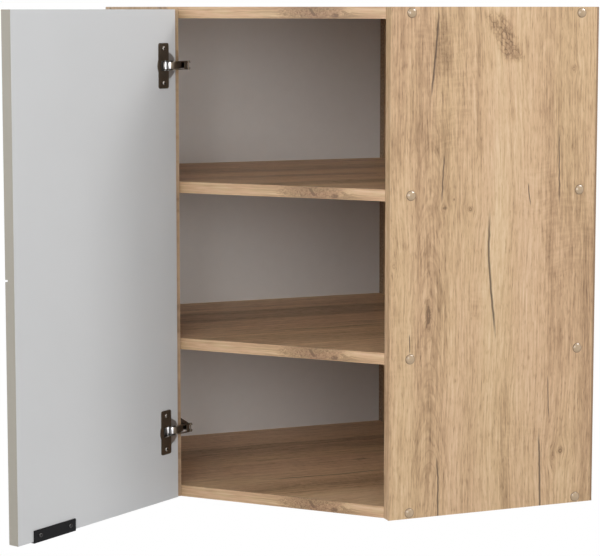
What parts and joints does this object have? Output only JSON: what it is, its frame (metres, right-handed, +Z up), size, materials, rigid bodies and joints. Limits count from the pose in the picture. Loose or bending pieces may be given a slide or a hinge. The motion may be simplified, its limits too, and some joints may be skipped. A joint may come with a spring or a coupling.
{
  "type": "corner wall cabinet",
  "caption": "Five-sided corner wall cabinet with shelves, a diagonal front, one door open on concealed hinges, and an edge pull.",
  "frame": {"origin": "the room's corner at the level of the cabinet's underside, where the outer faces of the two back panels meet", "axes": "+X along the right wall away from the corner, -Y along the left wall away from the corner, +Z up"},
  "size_m": [0.5553, 0.8297, 0.7],
  "materials": {
    "oak_board": "oak-effect laminate with cracks and knots, matte",
    "oak_edge": "oak-effect edge band, satin",
    "back_board": "thin fibreboard, pale grey face",
    "door_finish": "light laminate over board, matte",
    "hinge_bronze": "dark bronze plated sheet steel",
    "steel": "bright plated steel",
    "pull_black": "matte black aluminium profile",
    "cap_plastic": "beige cover caps, slightly glossy",
    "hanger_plastic": "off-white plastic"
  },
  "bodies": {
    "carcass": {"right_side_panel": "oak_board", "left_side_panel": "oak_board", "bottom_panel": "oak_board", "lower_shelf": "oak_board", "upper_shelf": "oak_board", "top_panel": "oak_board", "rear_corner_post": "oak_board", "right_side_edge": "oak_edge", "left_side_edge": "oak_edge", "bottom_panel_edge": "oak_edge", "lower_shelf_edge": "oak_edge", "upper_shelf_edge": "oak_edge", "top_panel_edge": "oak_edge", "right_back_panel": "back_board", "left_back_panel": "back_board", "right_hanger_body": "hanger_plastic", "left_hanger_body": "hanger_plastic", "right_hanger_hook": "steel", "left_hanger_hook": "steel", "right_screw_bottom_front": "cap_plastic", "right_screw_bottom_rear": "cap_plastic", "right_screw_lower_shelf_front": "cap_plastic", "right_screw_lower_shelf_rear": "cap_plastic", "right_screw_upper_shelf_front": "cap_plastic", "right_screw_upper_shelf_rear": "cap_plastic", "right_screw_top_panel_front": "cap_plastic", "right_screw_top_panel_rear": "cap_plastic", "left_screw_bottom_front": "cap_plastic", "left_screw_bottom_rear": "cap_plastic", "left_screw_lower_shelf_front": "cap_plastic", "left_screw_lower_shelf_rear": "cap_plastic", "left_screw_upper_shelf_front": "cap_plastic", "left_screw_upper_shelf_rear": "cap_plastic", "left_screw_top_panel_front": "cap_plastic", "left_screw_top_panel_rear": "cap_plastic", "upper_hinge_arm": "hinge_bronze", "lower_hinge_arm": "hinge_bronze", "upper_hinge_plate": "hinge_bronze", "lower_hinge_plate": "hinge_bronze", "upper_hinge_plate_screw_1": "steel", "upper_hinge_plate_screw_2": "steel", "lower_hinge_plate_screw_1": "steel", "lower_hinge_plate_screw_2": "steel"},
    "door": {"door_panel": "door_finish", "edge_pull": "pull_black", "edge_pull_screw_1": "steel", "edge_pull_screw_2": "steel", "upper_hinge_cup": "hinge_bronze", "lower_hinge_cup": "hinge_bronze", "upper_hinge_flange_screw_1": "steel", "upper_hinge_flange_screw_2": "steel", "lower_hinge_flange_screw_1": "steel", "lower_hinge_flange_screw_2": "steel"},
    "upper_outer_link": {"upper_hinge_outer_link": "hinge_bronze"},
    "lower_outer_link": {"lower_hinge_outer_link": "hinge_bronze"},
    "upper_inner_link": {"upper_hinge_inner_link": "steel"},
    "lower_inner_link": {"lower_hinge_inner_link": "steel"}
  },
  "joints": [
    {"name": "upper_outer_link_turn", "type": "hinge", "parent": "carcass", "child": "upper_outer_link", "pos_m": [0.323, -0.52471, 0.6185], "axis": [0, 0, 1], "range_deg": [0, 8.9]},
    {"name": "door_turn", "type": "hinge", "parent": "upper_outer_link", "child": "door", "pos_m": [0.32664, -0.5551, 0.6185], "axis": [0, 0, 1], "range_deg": [0, 93.16]},
    {"name": "lower_outer_link_turn", "type": "hinge", "parent": "carcass", "child": "lower_outer_link", "pos_m": [0.323, -0.52471, 0.101], "axis": [0, 0, 1], "range_deg": [0, 8.9]},
    {"name": "upper_inner_link_turn", "type": "hinge", "parent": "carcass", "child": "upper_inner_link", "pos_m": [0.30697, -0.53223, 0.6185], "axis": [0, 0, 1], "range_deg": [0, 19.7]},
    {"name": "lower_inner_link_turn", "type": "hinge", "parent": "carcass", "child": "lower_inner_link", "pos_m": [0.30697, -0.53223, 0.101], "axis": [0, 0, 1], "range_deg": [0, 19.7]}
  ],
  "couplings": [
    {"joint": "upper_outer_link_turn", "follows": "door_turn", "ratio": 0.0949},
    {"joint": "lower_outer_link_turn", "follows": "door_turn", "ratio": 0.0949},
    {"joint": "upper_inner_link_turn", "follows": "door_turn", "ratio": 0.2106},
    {"joint": "lower_inner_link_turn", "follows": "door_turn", "ratio": 0.2106}
  ]
}
